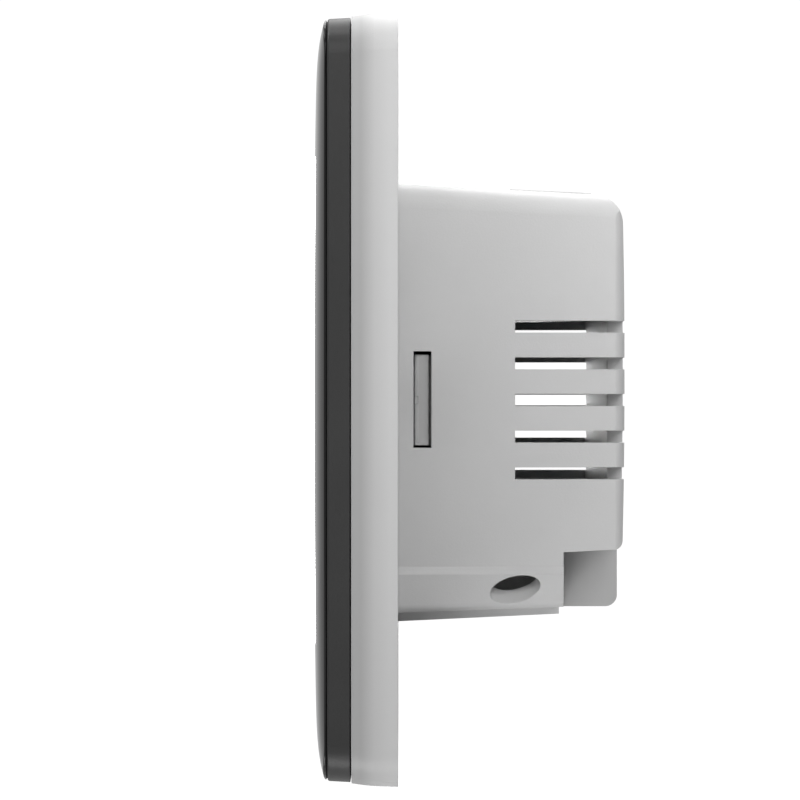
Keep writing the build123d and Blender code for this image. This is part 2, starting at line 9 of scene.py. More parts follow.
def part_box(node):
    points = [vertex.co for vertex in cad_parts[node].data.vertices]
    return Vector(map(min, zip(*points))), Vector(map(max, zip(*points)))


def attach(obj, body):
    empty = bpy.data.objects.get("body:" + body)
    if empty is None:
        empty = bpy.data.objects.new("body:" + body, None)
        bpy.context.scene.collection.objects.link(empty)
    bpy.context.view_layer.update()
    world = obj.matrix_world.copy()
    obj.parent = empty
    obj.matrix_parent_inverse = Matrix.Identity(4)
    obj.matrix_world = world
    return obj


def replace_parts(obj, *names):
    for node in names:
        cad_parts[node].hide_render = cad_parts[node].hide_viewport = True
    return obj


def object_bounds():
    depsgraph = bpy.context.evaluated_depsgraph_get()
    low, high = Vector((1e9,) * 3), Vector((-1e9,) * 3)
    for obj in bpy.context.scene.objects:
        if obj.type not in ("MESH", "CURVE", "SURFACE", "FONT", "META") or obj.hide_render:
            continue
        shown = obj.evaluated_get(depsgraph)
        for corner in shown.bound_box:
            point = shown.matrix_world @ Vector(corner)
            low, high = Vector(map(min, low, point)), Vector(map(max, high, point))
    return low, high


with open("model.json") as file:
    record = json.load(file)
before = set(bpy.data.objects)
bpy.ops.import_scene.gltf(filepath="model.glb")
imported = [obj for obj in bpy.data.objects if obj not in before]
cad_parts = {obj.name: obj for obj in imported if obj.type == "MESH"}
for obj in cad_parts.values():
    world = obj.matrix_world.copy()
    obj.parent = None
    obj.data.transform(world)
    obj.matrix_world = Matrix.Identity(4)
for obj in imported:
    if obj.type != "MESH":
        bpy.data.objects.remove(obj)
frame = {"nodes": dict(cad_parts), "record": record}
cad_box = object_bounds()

MM = 0.001
nodes = frame["nodes"]


# ---------------------------------------------------------------- sizes of the front lens

lens_low, lens_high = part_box("front_lens")
lens_half = lens_high.x
lens_span = lens_half + 0.15 * MM
lens_corner, lens_rise, lens_rim = 4.2 * MM, 1.9 * MM, 0.1 * MM
lens_bow, lens_roll, roll_power = 0.28, 0.72, 20
lens_foot_half, lens_lip_y = 42.2 * MM, -8.05 * MM
# the foot is taller between the lip and the bezel's rim, which closes the seam at top and bottom
lens_collar_half, lens_collar_y = 42.55 * MM, -7.89 * MM
mark_proud, mark_sunk = 0.02 * MM, 0.05 * MM


# ---------------------------------------------------------------- camera

def make_camera(at, look_at, lens):
    """The scene's camera, with its focal length in mm."""
    data = bpy.data.cameras.new("camera")
    data.lens, data.sensor_width = lens, 36.0
    data.clip_start, data.clip_end = 0.01, 20.0
    camera = bpy.data.objects.new("camera", data)
    camera.location = at
    camera.rotation_mode = "QUATERNION"
    camera.rotation_quaternion = (look_at - at).to_track_quat("-Z", "Y")
    bpy.context.scene.collection.objects.link(camera)
    bpy.context.scene.camera = camera


camera_distance, sight_y, focal_length = 0.372, 0.00022, 133.5
make_camera(Vector((camera_distance, sight_y, 0.0)), Vector((0.0, sight_y, 0.0)), focal_length)


# ---------------------------------------------------------------- lights and world

def polar(azimuth, elevation, distance):
    """A place seen from the object: azimuth from +X towards +Y, elevation up, in degrees."""
    azimuth, elevation = math.radians(azimuth), math.radians(elevation)
    level = distance * math.cos(elevation)
    return Vector((level * math.cos(azimuth), level * math.sin(azimuth), distance * math.sin(elevation)))


def area_light(name, at, size, power):
    """A square light turned to the object and never seen, its side in metres and its power in watts."""
    data = bpy.data.lights.new(name, "AREA")
    data.shape, data.size, data.energy = "SQUARE", size, power
    light = bpy.data.objects.new(name, data)
    light.location = at
    light.rotation_mode = "QUATERNION"
    light.rotation_quaternion = (-at).to_track_quat("-Z", "Y")
    light.visible_camera = False
    bpy.context.scene.collection.objects.link(light)


def make_world(reflected, seen):
    """A white studio, seen in reflections and as the backdrop. It gives no other light.

    In reflections it darkens towards +X, where the x part of a direction grows from fade_start to
    fade_end, down to a share of its strength.
    """
    fade_start, fade_end, darkest = 0.35, 0.75, 0.12
    world = bpy.data.worlds.new("studio")
    bpy.context.scene.world = world
    world.use_nodes = True
    tree = world.node_tree
    tree.nodes.clear()

    def white(strength):
        node = tree.nodes.new("ShaderNodeBackground")
        node.inputs["Color"].default_value = (1, 1, 1, 1)
        node.inputs["Strength"].default_value = strength
        return node

    parts = tree.nodes.new("ShaderNodeSeparateXYZ")
    tree.links.new(tree.nodes.new("ShaderNodeTexCoord").outputs["Generated"], parts.inputs[0])
    darker = tree.nodes.new("ShaderNodeMapRange")
    darker.interpolation_type = "SMOOTHSTEP"
    limits = (fade_start, fade_end, reflected, reflected * darkest)
    for key, value in zip(("From Min", "From Max", "To Min", "To Max"), limits):
        darker.inputs[key].default_value = value
    tree.links.new(parts.outputs["X"], darker.inputs["Value"])
    mirrored, backdrop = white(reflected), white(seen)
    tree.links.new(darker.outputs["Result"], mirrored.inputs["Strength"])

    path = tree.nodes.new("ShaderNodeLightPath")
    result = white(0.0).outputs[0]
    for ray, source in (("Is Glossy Ray", mirrored), ("Is Camera Ray", backdrop)):
        mix = tree.nodes.new("ShaderNodeMixShader")
        tree.links.new(path.outputs[ray], mix.inputs[0])
        tree.links.new(result, mix.inputs[1])
        tree.links.new(source.outputs[0], mix.inputs[2])
        result = mix.outputs[0]
    tree.links.new(result, tree.nodes.new("ShaderNodeOutputWorld").inputs[0])


backdrop_white = 1.05
make_world(reflected=0.6, seen=backdrop_white)
for name, azimuth, elevation, distance, size, power in (
    ("behind", 180, 62, 0.6, 0.56, 1.7),
    ("behind_right", 140, 45, 0.6, 0.4, 2.0),
    ("through_vents", -177, 0, 0.6, 0.16, 0.6),
    ("left_foot", -35, -50, 0.6, 0.3, 1.4),
    ("left_top", -60, 60, 0.26, 0.12, 0.3),
    ("camera_high", 0, 30, 0.26, 0.12, 0.07),
    ("camera_mid", 0, 0, 0.26, 0.12, 0.03),
    ("key_high", 31.6, 33.2, 0.1825, 0.06, 0.05),
    ("key_low", 35.5, 16.2, 0.1792, 0.06, 0.04),
):
    area_light(name, polar(azimuth, elevation, distance), size, power)
bpy.context.scene.view_settings.view_transform = "Standard"


# ---------------------------------------------------------------- how a material is built up

def principled(name, color, roughness, **inputs):
    """A Principled material with plain numbers set on its own sockets."""
    material = bpy.data.materials.new(name)
    material.use_nodes = True
    shader = shader_of(material)
    shader.inputs["Base Color"].default_value = (*color, 1)
    shader.inputs["Roughness"].default_value = roughness
    for key, value in inputs.items():
        shader.inputs[key.replace("_", " ")].default_value = value
    return material


def shader_of(material):
    return material.node_tree.nodes["Principled BSDF"]


def add(material, kind, sources=(), **values):
    """A new node with its inputs set by name, and linked from the given sockets."""
    tree = material.node_tree
    node = tree.nodes.new(kind)
    for key, value in values.items():
        node.inputs[key.replace("_", " ")].default_value = value
    for key, socket in dict(sources).items():
        tree.links.new(socket, node.inputs[key])
    return node


def place(material, stretch=(1, 1, 1)):
    """Where a point of the object is, with its axes stretched."""
    at = add(material, "ShaderNodeTexCoord").outputs["Object"]
    if stretch == (1, 1, 1):
        return at
    return add(material, "ShaderNodeMapping", {"Vector": at}, Scale=stretch).outputs["Vector"]


def noise(material, size, detail=3, stretch=(1, 1, 1)):
    """Cloudy noise from 0 to 1, with patches of about the given size in metres."""
    at = {"Vector": place(material, stretch)}
    return add(material, "ShaderNodeTexNoise", at, Scale=1 / size, Detail=detail).outputs["Fac"]


def bands(material, pitch, axis, wobble=0.0):
    """Rounded ridges across an axis, such as the turns of a winding."""
    node = add(material, "ShaderNodeTexWave", {"Vector": place(material)}, Scale=math.pi / 10 / pitch,
               Distortion=wobble)
    node.wave_type, node.bands_direction = "BANDS", axis
    return node.outputs["Fac"]


def step(material, socket, low, high):
    """0 as far as low, 1 from high on and a ramp between them. It runs down where low is the larger."""
    node = add(material, "ShaderNodeMapRange", {"Value": socket}, From_Min=low, From_Max=high)
    return node.outputs["Result"]


def math_node(material, operation, *terms):
    """The result of an operation on numbers and sockets."""
    node = material.node_tree.nodes.new("ShaderNodeMath")
    node.operation = operation
    for slot, term in zip(node.inputs, terms):
        if isinstance(term, (int, float)):
            slot.default_value = term
        else:
            material.node_tree.links.new(term, slot)
    return node.outputs[0]


def axis_of(material, axis):
    """How far along X, Y or Z a point of the object is."""
    return add(material, "ShaderNodeSeparateXYZ", {"Vector": place(material)}).outputs[axis]


def within(material, axis, low, high, soft):
    """1 between two places on an axis, falling to 0 over a soft edge."""
    at = axis_of(material, axis)
    above = step(material, at, low - soft, low + soft)
    below = step(material, at, high + soft, high - soft)
    return math_node(material, "MULTIPLY", above, below)


def relief(material, height, distance):
    """Raise the surface by a height texture, over the relief that it already has."""
    tree, shader = material.node_tree, shader_of(material)
    bump = add(material, "ShaderNodeBump", {"Height": height}, Strength=1.0, Distance=distance)
    for link in shader.inputs["Normal"].links:
        tree.links.new(link.from_socket, bump.inputs["Normal"])
    tree.links.new(bump.outputs["Normal"], shader.inputs["Normal"])


def rounded(material, radius):
    """Soften the shading over sharp moulded edges."""
    bevel = add(material, "ShaderNodeBevel", Radius=radius)
    bevel.samples = 4
    material.node_tree.links.new(bevel.outputs["Normal"], shader_of(material).inputs["Normal"])


def tint(material, factor, *colors):
    """Base colour blended through the given colours by a factor."""
    ramp = add(material, "ShaderNodeValToRGB", {"Fac": factor})
    elements = ramp.color_ramp.elements
    while len(elements) < len(colors):
        elements.new(0.5)
    for i, (element, color) in enumerate(zip(elements, colors)):
        element.position = i / (len(colors) - 1)
        element.color = (*color, 1)
    material.node_tree.links.new(ramp.outputs["Color"], shader_of(material).inputs["Base Color"])


def vary(material, key, factor, low, high):
    """Drive one of the shader's inputs from low to high by a factor."""
    node = add(material, "ShaderNodeMapRange", {"Value": factor}, To_Min=low, To_Max=high)
    material.node_tree.links.new(node.outputs["Result"], shader_of(material).inputs[key])


def shade(color, k):
    """A colour made darker or lighter, and never over white."""
    return tuple(min(1.0, c * k) for c in color)


# ---------------------------------------------------------------- materials

def moulded(name, color, roughness, grain=0.18, depth=0.012, spread=0.02, edge=0.12, **inputs):
    """Moulded plastic: fine grain from the tool, a little cloudiness and softened edges. Sizes in mm."""
    material = principled(name, color, roughness, **inputs)
    sink_size, sink_depth, cloud_size, gloss_size = 9, 0.012, 11, 3
    rounded(material, edge * MM)
    relief(material, noise(material, sink_size * MM, detail=1), sink_depth * MM)
    relief(material, noise(material, grain * MM), depth * MM)
    cloud = step(material, noise(material, cloud_size * MM, detail=4), 0.3, 0.7)
    tint(material, cloud, shade(color, 1 - spread), shade(color, 1 + spread))
    vary(material, "Roughness", noise(material, gloss_size * MM), roughness - 0.06, roughness + 0.06)
    return material


def plate_plastic():
    """The plate's plastic, with painted shade: deeper in tone towards its front and on the skirt and hooks
    in the housing.
    """
    color = (0.83, 0.83, 0.83)
    front, back, skirt_start, skirt_end = -4.1 * MM, -0.9 * MM, 2.25 * MM, 2.4 * MM
    material = moulded("plate_plastic", color, 0.42)
    at = axis_of(material, "Y")
    # painted shade: full tone between back and skirt_start, falling to two thirds towards the front edge
    # and on the skirt and latch hooks
    clear_of_painted_shade = math_node(material, "MULTIPLY", step(material, at, front, back),
                      step(material, at, skirt_end, skirt_start))
    cloud = math_node(material, "MULTIPLY", noise(material, 11 * MM, detail=4), 0.06)
    painted_shade_levels = [shade(color, k) for k in (0.66, 0.78, 0.90, 0.95, 1.0)]
    tint(material, math_node(material, "ADD", clear_of_painted_shade, cloud), *painted_shade_levels)
    return material


def metal(name, color, roughness, brush=(1, 1, 1)):
    """Plated or drawn metal, with fine scratches across the axis that brush stretches."""
    grain, depth, spread = 0.3, 0.006, 0.08
    material = principled(name, color, roughness, Metallic=1.0)
    rounded(material, 0.06 * MM)
    scratch = noise(material, grain * MM, detail=5, stretch=brush)
    relief(material, scratch, depth * MM)
    tint(material, noise(material, 2.5 * MM), shade(color, 1 - spread), color, shade(color, 1 + spread))
    vary(material, "Roughness", scratch, roughness - 0.1, roughness + 0.12)
    return material


def wound(name, color, pitch, axis):
    """Enamelled wire laid in close turns, with painted shade in the grooves between them and a painted
    highlight on their crests.
    """
    material = principled(name, color, 0.3, Metallic=1.0, Coat_Weight=0.6)
    turns = bands(material, pitch * MM, axis, wobble=0.4)
    relief(material, turns, 0.5 * pitch * MM)
    # painted shade between the turns and a painted highlight along their crests
    tint(material, turns, shade(color, 0.25), color, shade(color, 1.3))
    vary(material, "Roughness", noise(material, 0.5 * MM), 0.22, 0.42)
    return material


def dipped(name, color, roughness, peel=0.9):
    """A dipped or shrunk coating with a soft orange peel."""
    material = principled(name, color, roughness, Coat_Weight=0.5)
    rounded(material, 0.15 * MM)
    relief(material, noise(material, peel * MM, detail=1), 0.05 * MM)
    relief(material, noise(material, 0.12 * MM), 0.002 * MM)
    tint(material, noise(material, 2 * MM), shade(color, 0.8), color, shade(color, 1.15))
    vary(material, "Roughness", noise(material, 1.5 * MM), roughness - 0.05, roughness + 0.1)
    return material


def circuit_board():
    """Green solder mask over copper tracks, which run across in some patches and upwards in others."""
    mask, copper = (0.012, 0.085, 0.035), (0.035, 0.2, 0.075)
    material = principled("circuit_board", mask, 0.28, Coat_Weight=0.3)
    across, upwards = (bands(material, 1.27 * MM, axis) for axis in ("X", "Z"))
    patch = step(material, noise(material, 9 * MM, detail=0), 0.49, 0.51)
    chosen = add(material, "ShaderNodeMix", {"Factor": patch, "A": across, "B": upwards}).outputs["Result"]
    bare = step(material, noise(material, 6 * MM, detail=0), 0.40, 0.42)
    track = math_node(material, "MULTIPLY", step(material, chosen, 0.62, 0.72), bare)
    tint(material, track, mask, copper)
    relief(material, track, 0.03 * MM)
    relief(material, noise(material, 0.4 * MM), 0.004 * MM)
    vary(material, "Roughness", noise(material, 2 * MM), 0.22, 0.38)
    return material


def black_glass():
    """Polished black with faint wipe marks, a trace lighter over the display and matt on its foot."""
    black, window_black = (0.004, 0.004, 0.004), (0.010, 0.011, 0.012)
    roughness, wipe_marks, matt, coat = 0.07, 0.08, 0.6, 0.6
    material = principled("lens", black, roughness, Coat_Weight=coat, Coat_Roughness=0.02,
                          Specular_IOR_Level=0.3)
    low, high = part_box("lcd_glass")
    soft = 0.4 * MM
    window = math_node(material, "MULTIPLY", within(material, "X", low.x, high.x, soft),
                       within(material, "Z", low.z, high.z, soft))
    tint(material, window, black, window_black)
    wipe = noise(material, 6 * MM, detail=4, stretch=(1, 1, 0.35))
    ground = step(material, axis_of(material, "Y"), lens_lip_y - 0.02 * MM, lens_lip_y)
    polished = math_node(material, "MULTIPLY_ADD", wipe, wipe_marks, roughness - 0.03)
    rougher = math_node(material, "MAXIMUM", polished, math_node(material, "MULTIPLY", ground, matt))
    vary(material, "Roughness", rougher, 0.0, 1.0)
    vary(material, "Coat Weight", ground, coat, 0.0)
    return material


def fuse_glass():
    """A clear tube with a metal cap at each end."""
    low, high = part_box("fuse")
    cap = 2.4 * MM
    material = principled("fuse_glass", (0.9, 0.92, 0.92), 0.08)
    rounded(material, 0.1 * MM)
    tube = within(material, "X", low.x + cap, high.x - cap, 0.03 * MM)
    tint(material, tube, (0.7, 0.69, 0.66), (0.86, 0.9, 0.88))
    vary(material, "Metallic", tube, 1.0, 0.0)
    vary(material, "Transmission Weight", tube, 0.0, 0.85)
    relief(material, noise(material, 0.4 * MM), 0.004 * MM)
    return material


def capacitor_sleeve():
    """A shrunk black sleeve with a grey stripe down one side, and a bare scored top."""
    low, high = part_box("bulk_capacitor")
    sleeve, stripe_grey, bare = (0.015, 0.015, 0.02), (0.35, 0.35, 0.36), (0.75, 0.75, 0.76)
    score, score_depth = 0.12 * MM, 0.12 * MM
    material = principled("capacitor_sleeve", sleeve, 0.25)
    rounded(material, 0.15 * MM)
    top = step(material, axis_of(material, "Y"), high.y - 0.45 * MM, high.y - 0.35 * MM)
    stripe = step(material, axis_of(material, "X"), low.x + 0.5 * MM, low.x + 0.4 * MM)
    paint = math_node(material, "MAXIMUM", math_node(material, "MULTIPLY", stripe, 0.5), top)
    tint(material, paint, sleeve, stripe_grey, bare)
    vary(material, "Metallic", top, 0.0, 1.0)
    middle = (low + high) / 2
    for axis in ("X", "Z"):
        centre = getattr(middle, axis.lower())
        relief(material, within(material, axis, centre - score, centre + score, 0.05 * MM), -score_depth)
    relief(material, noise(material, 0.8 * MM), 0.01 * MM)
    return material


def ferrite():
    """Sintered ceramic: dark, dull and speckled."""
    material = principled("ferrite", (0.05, 0.05, 0.055), 0.6)
    rounded(material, 0.15 * MM)
    speck = noise(material, 0.25 * MM, detail=6)
    tint(material, speck, (0.02, 0.02, 0.022), (0.06, 0.06, 0.065), (0.13, 0.13, 0.135))
    relief(material, speck, 0.03 * MM)
    vary(material, "Roughness", speck, 0.45, 0.75)
    return material


def blank_label():
    """Printed film: slightly glossy, with the weave of its adhesive showing through."""
    material = principled("label", (0.72, 0.72, 0.71), 0.35)
    relief(material, noise(material, 1.2 * MM, detail=2), 0.008 * MM)
    tint(material, noise(material, 5 * MM), (0.70, 0.70, 0.69), (0.76, 0.76, 0.75))
    vary(material, "Roughness", noise(material, 2 * MM), 0.28, 0.42)
    return material


def coiled_spring():
    """Plated wire in open turns, with painted shade in the gaps between them and a faint painted highlight
    on their crests.
    """
    color = (0.66, 0.64, 0.58)
    material = principled("spring_steel", color, 0.25, Metallic=1.0)
    turns = bands(material, 0.6 * MM, "Y")
    relief(material, turns, 0.3 * MM)
    # painted shade in the gaps between turns and a faint painted highlight on their crests
    tint(material, turns, shade(color, 0.1), color, shade(color, 1.1))
    vary(material, "Roughness", noise(material, 0.4 * MM), 0.2, 0.35)
    return material


materials = {
    "plate_plastic": plate_plastic(),
    "housing_plastic": moulded("housing_plastic", (0.79, 0.79, 0.79), 0.48, grain=0.22, depth=0.016),
    "terminal_plastic": moulded("terminal_plastic", (0.61, 0.61, 0.61), 0.42, grain=0.15),
    "bezel_plastic": moulded("bezel_plastic", (0.036, 0.036, 0.036), 0.36, spread=0.1),
    "black_plastic": moulded("black_plastic", (0.03, 0.03, 0.03), 0.4, spread=0.1, edge=0.08),
    "white_plastic": moulded("white_plastic", (0.82, 0.81, 0.77), 0.4),
    "relay_plastic": moulded("relay_plastic", (0.03, 0.08, 0.26), 0.28, spread=0.08, edge=0.2,
                             Coat_Weight=0.3),
    "filter_plastic": moulded("filter_plastic", (0.66, 0.46, 0.05), 0.3, spread=0.06, edge=0.2),
    "light_guide": moulded("light_guide", (0.80, 0.82, 0.82), 0.35, grain=0.4),
    "display_glass": moulded("display_glass", (0.03, 0.035, 0.035), 0.12, depth=0.002, Coat_Weight=1.0),
    "screw_steel": metal("screw_steel", (0.62, 0.62, 0.60), 0.3),
    "terminal_metal": metal("terminal_metal", (0.70, 0.68, 0.62), 0.28, brush=(1, 6, 1)),
    "iron": metal("iron", (0.50, 0.50, 0.50), 0.38, brush=(6, 1, 1)),
    "contact_metal": metal("contact_metal", (0.74, 0.66, 0.50), 0.22),
    "cell_metal": metal("cell_metal", (0.70, 0.70, 0.70), 0.25, brush=(8, 1, 1)),
    "shield_metal": metal("shield_metal", (0.68, 0.68, 0.66), 0.32, brush=(5, 1, 1)),
    "copper_wire": wound("copper_wire", (0.62, 0.26, 0.11), 0.35, "X"),
    "varistor_coating": dipped("varistor_coating", (0.03, 0.11, 0.34), 0.3),
    "sensor": dipped("sensor", (0.30, 0.10, 0.02), 0.2, peel=0.4),
    "circuit_board": circuit_board(),
    "lens": black_glass(),
    "fuse_glass": fuse_glass(),
    "capacitor_sleeve": capacitor_sleeve(),
    "ferrite": ferrite(),
    "label": blank_label(),
    "spring_steel": coiled_spring(),
}
for entry in frame["record"]["subparts"]:
    mesh = nodes[entry["node"]].data
    mesh.materials.clear()
    mesh.materials.append(materials[entry["material_slot"]])


# ---------------------------------------------------------------- floor

def make_floor(drop, half, seen, reflected):
    """A plain pale floor under the object, with a glow of its own where seen and in reflections."""
    z = cad_box[0].z - drop
    mesh = bpy.data.meshes.new("floor")
    corners = [(-half, -half, z), (half, -half, z), (half, half, z), (-half, half, z)]
    mesh.from_pydata(corners, [], [(0, 1, 2, 3)])
    floor = bpy.data.objects.new("floor", mesh)
    bpy.context.scene.collection.objects.link(floor)
    material = principled("floor", (0.85, 0.85, 0.85), 0.9)
    path = material.node_tree.nodes.new("ShaderNodeLightPath")
    glow = math_node(material, "MULTIPLY", path.outputs["Is Camera Ray"], seen)
    shine = math_node(material, "MULTIPLY", path.outputs["Is Glossy Ray"], reflected)
    glow = math_node(material, "ADD", glow, shine)
    material.node_tree.links.new(glow, shader_of(material).inputs["Emission Strength"])
    shader_of(material).inputs["Emission Color"].default_value = (1, 1, 1, 1)
    mesh.materials.append(material)


make_floor(drop=0.6, half=8.0, seen=backdrop_white, reflected=0.5)


# ---------------------------------------------------------------- mesh tools

def mesh_piece(name, body, slot, make):
    """A new piece whose faces are made by the given function, riding on a body."""
    bm = bmesh.new()
    make(bm)
    bmesh.ops.recalc_face_normals(bm, faces=bm.faces)
    mesh = bpy.data.meshes.new(name)
    bm.to_mesh(mesh)
    bm.free()
    mesh.materials.append(materials[slot])
    piece = bpy.data.objects.new(name, mesh)
    bpy.context.scene.collection.objects.link(piece)
    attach(piece, body)
    return piece


def block(bm, centre, size, round_by, turn=0.0):
    """A block with rounded edges. Its size runs along x, y and z before it is turned about Y."""
    where = Matrix.Translation(centre) @ Matrix.Rotation(turn, 4, "Y") @ Matrix.Diagonal((*size, 1))
    made = bmesh.ops.create_cube(bm, size=1.0, matrix=where)["verts"]
    edges = list({edge for vert in made for edge in vert.link_edges})
    bmesh.ops.bevel(bm, geom=edges, offset=round_by, segments=2, profile=0.6, affect="EDGES")


def turned(bm, at, profile, steps):
    """A closed round shape about an axis along Y: profile is (radius, depth) from one end to the other."""
    angles = [2 * math.pi * i / steps for i in range(steps)]
    rings = []
    for radius, y in profile:
        points = [(at[0] + radius * math.cos(a), y, at[1] + radius * math.sin(a)) for a in angles]
        rings.append([bm.verts.new(point) for point in points])
    for ring, after in zip(rings, rings[1:]):
        for i in range(steps):
            j = (i + 1) % steps
            bm.faces.new((ring[i], ring[j], after[j], after[i]))
    bm.faces.new(rings[0])
    bm.faces.new(rings[-1])


def ribbon(bm, count, section, closed=False):
    """A bar through a count of cross sections, given by their corners, with ends or closed into a loop."""
    rings = [[bm.verts.new(corner) for corner in section(i)] for i in range(count)]
    pairs = list(zip(rings, rings[1:])) + ([(rings[-1], rings[0])] if closed else [])
    for ring, after in pairs:
        for i in range(len(ring)):
            j = (i + 1) % len(ring)
            bm.faces.new((ring[i], ring[j], after[j], after[i]))
    if not closed:
        bm.faces.new(rings[0])
        bm.faces.new(rings[-1])


# ---------------------------------------------------------------- the domed front lens

def on_lens(x, z):
    """Depth of the lens's front face: nearly flat, and rolling down quickly in its last few millimetres."""
    fall = [1 - lens_bow * u**2 - lens_roll * abs(u) ** roll_power for u in (x / lens_span, z / lens_span)]
    return lens_low.y + lens_rise * (1 - fall[0] * fall[1])


def rounded_square(half, corner, per_side, per_corner):
    """Points round a square with rounded corners, starting on its right side."""
    points = []
    for quarter in range(4):
        turn = Matrix.Rotation(quarter * math.pi / 2, 2)
        flat = half - corner
        side = [(half, -flat + 2 * flat * i / per_side) for i in range(per_side)]
        bend = [math.pi / 2 * i / per_corner for i in range(per_corner)]
        side += [(flat + corner * math.cos(a), flat + corner * math.sin(a)) for a in bend]
        points += [turn @ Vector(p) for p in side]
    return points


def make_lens(bm):
    """The lens as rings of points, from its foot and the lip over it to the middle of its face."""
    outline = rounded_square(1.0, lens_corner / lens_half, 40, 10)
    rim_steps, face_steps, crowding = 5, 64, 1.8
    edges = [
        (lens_foot_half, lens_foot_half, lens_high.y),
        (lens_foot_half, lens_foot_half, lens_collar_y),
        (lens_foot_half, lens_collar_half, lens_collar_y),
        (lens_foot_half, lens_collar_half, lens_lip_y),
        (lens_half, lens_half, lens_lip_y),
    ]
    rings = [[(p.x * wide, y, p.y * high) for p in outline] for wide, high, y in edges]
    for i in range(rim_steps):
        bend = math.pi / 2 * i / rim_steps
        half = lens_half - lens_rim * (1 - math.cos(bend))
        lift = lens_rim * (1 - math.sin(bend))
        rings.append([(p.x * half, on_lens(p.x * half, p.y * half) + lift, p.y * half) for p in outline])
    for i in range(face_steps):
        half = (lens_half - lens_rim) * (1 - (i / face_steps) ** crowding)
        rings.append([(p.x * half, on_lens(p.x * half, p.y * half), p.y * half) for p in outline])
    made = [[bm.verts.new(p) for p in ring] for ring in rings]
    for level, (ring, after) in enumerate(zip(made, made[1:])):
        for i in range(len(ring)):
            j = (i + 1) % len(ring)
            bm.faces.new((ring[i], ring[j], after[j], after[i])).smooth = level >= len(edges)
    bm.faces.new(made[0])
    middle = bm.verts.new((0, on_lens(0, 0), 0))
    for i, vert in enumerate(made[-1]):
        bm.faces.new((vert, made[-1][(i + 1) % len(outline)], middle)).smooth = True


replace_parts(mesh_piece("front_lens_glass", "front_unit", "lens", make_lens), "front_lens")


# ---------------------------------------------------------------- marks on the front

def printed(left, right):
    """Corners of a printed line's cross section, between two (x, z) places on the lens."""
    return [
        (left.x, on_lens(*left) - mark_proud, left.y),
        (right.x, on_lens(*right) - mark_proud, right.y),
        (right.x, on_lens(*right) + mark_sunk, right.y),
        (left.x, on_lens(*left) + mark_sunk, left.y),
    ]


def stroke(bm, points, width, closed=False):
    """A printed line on the lens through the given (x, z) points, in metres."""
    path = [Vector(p) for p in points]

    def section(i):
        before = path[i - 1] if closed or i else path[0]
        after = path[(i + 1) % len(path)] if closed or i + 1 < len(path) else path[-1]
        along = (after - before).normalized()
        side = Vector((-along.y, along.x)) * width / 2
        return printed(path[i] + side, path[i] - side)

    ribbon(bm, len(path), section, closed)


def arc(centre, radius, start, end, steps=28):
    """Points round a centre, from one angle to another in degrees."""
    angles = [math.radians(start + (end - start) * i / steps) for i in range(steps + 1)]
    return [(centre[0] + radius * math.cos(a), centre[1] + radius * math.sin(a)) for a in angles]


def moved(points, centre):
    return [(centre[0] + x, centre[1] + z) for x, z in points]


mark_line = 0.35 * MM


def power_mark(bm, at):
    stroke(bm, arc(at, 1.9 * MM, 120, 420), mark_line)
    stroke(bm, moved([(0, 0.6 * MM), (0, 2.5 * MM)], at), mark_line)


def list_mark(bm, at):
    for z in (-1.3, 0.0, 1.3):
        stroke(bm, moved([(-1.9 * MM, z * MM), (1.9 * MM, z * MM)], at), mark_line)


def clock_mark(bm, at):
    stroke(bm, arc(at, 2.0 * MM, 0, 360)[:-1], mark_line, closed=True)
    stroke(bm, moved([(0, 1.3 * MM), (0, 0), (0.9 * MM, -0.5 * MM)], at), mark_line)


def arrow_mark(bm, at, up):
    sign = 1 if up else -1
    reach, foot, tip = 2.0 * MM, -0.9 * MM * sign, 1.1 * MM * sign
    stroke(bm, moved([(-reach, foot), (0, tip), (reach, foot)], at), mark_line)


def key_places():
    """Middle of each touch key, from its spring behind the lens."""
    low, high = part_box("touch_springs")
    radius = (high.z - low.z) / 2
    count = 5
    gap = (high.x - low.x - 2 * radius) / (count - 1)
    return [(low.x + radius + i * gap, (low.z + high.z) / 2) for i in range(count)]


def make_key_marks(bm):
    keys = key_places()
    power_mark(bm, keys[0])
    list_mark(bm, keys[1])
    clock_mark(bm, keys[2])
    arrow_mark(bm, keys[3], up=False)
    arrow_mark(bm, keys[4], up=True)


# The seven bars of a digit: where each starts and ends in a box one wide and two high, and who uses it
BARS = {
    "top": ((0, 2), (1, 2)), "upper_left": ((0, 1), (0, 2)), "upper_right": ((1, 1), (1, 2)),
    "middle": ((0, 1), (1, 1)), "lower_left": ((0, 0), (0, 1)), "lower_right": ((1, 0), (1, 1)),
    "bottom": ((0, 0), (1, 0)),
}
LIT = {
    0: ("top", "upper_left", "upper_right", "lower_left", "lower_right", "bottom"),
    2: ("top", "upper_right", "middle", "lower_left", "bottom"),
    5: ("top", "upper_left", "middle", "lower_right", "bottom"),
}


def digit(bm, number, corner, width, bar):
    """Seven-bar digit with its lower left corner at a place. Its bars narrow to blunt tips."""
    tip_gap, tip_length, tip_width = 0.12 * bar, 0.5 * bar, 0.15 * bar
    for name in LIT[number]:
        start, end = (Vector(corner) + Vector(p) * width for p in BARS[name])
        along = (end - start).normalized()
        gap, inner = along * tip_gap, along * tip_length
        path = [start + gap, start + inner, (start + end) / 2, end - inner, end - gap]
        widths = [tip_width, bar, bar, bar, tip_width]
        side = Vector((-along.y, along.x))

        def section(i):
            return printed(path[i] + side * widths[i] / 2, path[i] - side * widths[i] / 2)

        ribbon(bm, len(path), section)


